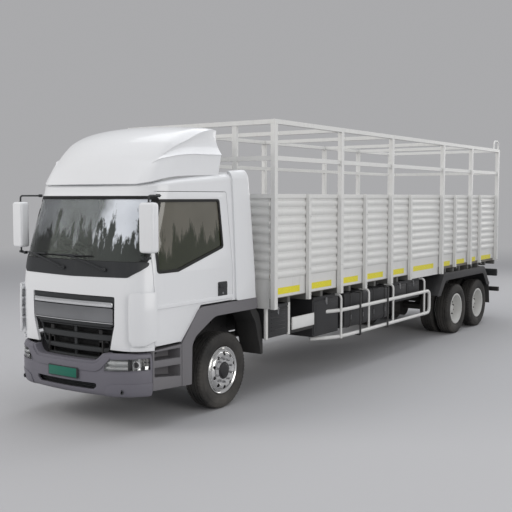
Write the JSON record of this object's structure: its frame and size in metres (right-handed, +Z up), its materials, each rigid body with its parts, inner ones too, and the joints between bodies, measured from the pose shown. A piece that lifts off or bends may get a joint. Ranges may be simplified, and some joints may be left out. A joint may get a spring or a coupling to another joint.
{
  "type": "three-axle stake-body truck",
  "caption": "Rigid truck with a tilting sleeper cab, steered front wheels, twin rear wheels and a ribbed stake body under an open rack.",
  "frame": {"origin": "on the ground under the middle of the truck's length and width", "axes": "+Z up, the front faces -Y, the truck's left is +X"},
  "size_m": [2.61, 11.4, 3.802],
  "materials": {
    "black_plastic": "matt",
    "body_paint": "satin",
    "bright_bar": "satin",
    "cast_iron": "rough",
    "chassis_paint": "satin",
    "dark_plastic": "matt",
    "deck_steel": "worn",
    "glass": "gloss",
    "grey_plastic": "satin",
    "guard_paint": "satin",
    "lamp_lens": "gloss",
    "polished_rim": "polished",
    "red_lens": "gloss",
    "seat_fabric": "woven",
    "tyre": "matt",
    "white_paint": "gloss",
    "white_rim": "satin"
  },
  "bodies": {
    "root": {"air_box": "chassis_paint", "battery_box": "chassis_paint", "bed_frame": "chassis_paint", "bumper": "grey_plastic", "cab_mounts": "chassis_paint", "deck": "deck_steel", "engine": "cast_iron", "frame_rails": "chassis_paint", "front_axle": "chassis_paint", "front_springs": "chassis_paint", "front_uprights": "body_paint", "front_wall": "body_paint", "fuel_tanks": "chassis_paint", "gearbox": "cast_iron", "headlamps": "lamp_lens", "lower_grille": "dark_plastic", "posts": "body_paint", "prop_shafts": "chassis_paint", "rack_rails": "body_paint", "rear_axles": "chassis_paint", "rear_fenders": "black_plastic", "rear_springs": "chassis_paint", "roof_bars": "body_paint", "side_guards": "guard_paint", "side_walls": "body_paint", "steps_and_arches": "grey_plastic", "tail_lamps": "red_lens", "tool_box": "chassis_paint", "top_loop": "body_paint", "underrun": "chassis_paint"},
    "cab": {"cab_shell": "white_paint", "windscreen": "glass", "cowl": "dark_plastic", "grille_bar": "bright_bar", "roof_deflector": "white_paint", "mirrors": "white_paint", "seats": "seat_fabric", "dashboard": "dark_plastic", "steering_wheel": "dark_plastic"},
    "cab_door_left": {"door_left": "white_paint", "door_glass_left": "glass"},
    "cab_door_right": {"door_right": "white_paint", "door_glass_right": "glass"},
    "steering_left": {"knuckle_left": "chassis_paint"},
    "steering_right": {"knuckle_right": "chassis_paint"},
    "track_rod": {"tie_rod": "chassis_paint"},
    "front_wheel_left": {"front_tyre_left": "tyre", "front_rim_left": "polished_rim"},
    "front_wheel_right": {"front_tyre_right": "tyre", "front_rim_right": "polished_rim"},
    "gate_left": {"rear_gate_left": "body_paint"},
    "gate_right": {"rear_gate_right": "body_paint"},
    "rear_wheels_1_left": {"rear_tyres_1_left": "tyre", "rear_rims_1_left": "white_rim"},
    "rear_wheels_1_right": {"rear_tyres_1_right": "tyre", "rear_rims_1_right": "white_rim"},
    "rear_wheels_2_left": {"rear_tyres_2_left": "tyre", "rear_rims_2_left": "white_rim"},
    "rear_wheels_2_right": {"rear_tyres_2_right": "tyre", "rear_rims_2_right": "white_rim"}
  },
  "joints": [
    {"name": "cab_tilt", "type": "hinge", "parent": "root", "child": "cab", "pos_m": [0, -5.47, 0.99], "axis": [1, 0, 0], "range_deg": [0, 50]},
    {"name": "door_left_open", "type": "hinge", "parent": "cab", "child": "cab_door_left", "pos_m": [1.044, -5.298, 1.8], "axis": [0, 0, -1], "range_deg": [0, 68]},
    {"name": "door_right_open", "type": "hinge", "parent": "cab", "child": "cab_door_right", "pos_m": [-1.044, -5.298, 1.8], "axis": [0, 0, 1], "range_deg": [0, 68]},
    {"name": "steer_left", "type": "hinge", "parent": "root", "child": "steering_left", "pos_m": [0.7, -4, 0.475], "axis": [0, 0, 1], "range_deg": [-34, 34]},
    {"name": "steer_right", "type": "hinge", "parent": "root", "child": "steering_right", "pos_m": [-0.7, -4, 0.475], "axis": [0, 0, 1], "range_deg": [-34, 34]},
    {"name": "track_rod_joint", "type": "hinge", "parent": "steering_left", "child": "track_rod", "pos_m": [0.7, -3.785, 0.363], "axis": [0, 0, 1], "range_deg": [-34, 34]},
    {"name": "front_wheel_left_roll", "type": "hinge", "parent": "steering_left", "child": "front_wheel_left", "pos_m": [0.887, -4, 0.475], "axis": [1, 0, 0], "continuous": true},
    {"name": "front_wheel_right_roll", "type": "hinge", "parent": "steering_right", "child": "front_wheel_right", "pos_m": [-0.887, -4, 0.475], "axis": [1, 0, 0], "continuous": true},
    {"name": "gate_left_open", "type": "hinge", "parent": "root", "child": "gate_left", "pos_m": [1.178, 5.328, 2], "axis": [0, 0, -1], "range_deg": [0, 180]},
    {"name": "gate_right_open", "type": "hinge", "parent": "root", "child": "gate_right", "pos_m": [-1.178, 5.328, 2], "axis": [0, 0, 1], "range_deg": [0, 180]},
    {"name": "rear_wheels_1_left_roll", "type": "hinge", "parent": "root", "child": "rear_wheels_1_left", "pos_m": [0.907, 3.26, 0.475], "axis": [1, 0, 0], "continuous": true},
    {"name": "rear_wheels_1_right_roll", "type": "hinge", "parent": "root", "child": "rear_wheels_1_right", "pos_m": [-0.907, 3.26, 0.475], "axis": [1, 0, 0], "continuous": true},
    {"name": "rear_wheels_2_left_roll", "type": "hinge", "parent": "root", "child": "rear_wheels_2_left", "pos_m": [0.907, 4.41, 0.475], "axis": [1, 0, 0], "continuous": true},
    {"name": "rear_wheels_2_right_roll", "type": "hinge", "parent": "root", "child": "rear_wheels_2_right", "pos_m": [-0.907, 4.41, 0.475], "axis": [1, 0, 0], "continuous": true}
  ],
  "couplings": [
    {"joint": "steer_right", "follows": "steer_left", "ratio": 1},
    {"joint": "track_rod_joint", "follows": "steer_left", "ratio": -1}
  ]
}
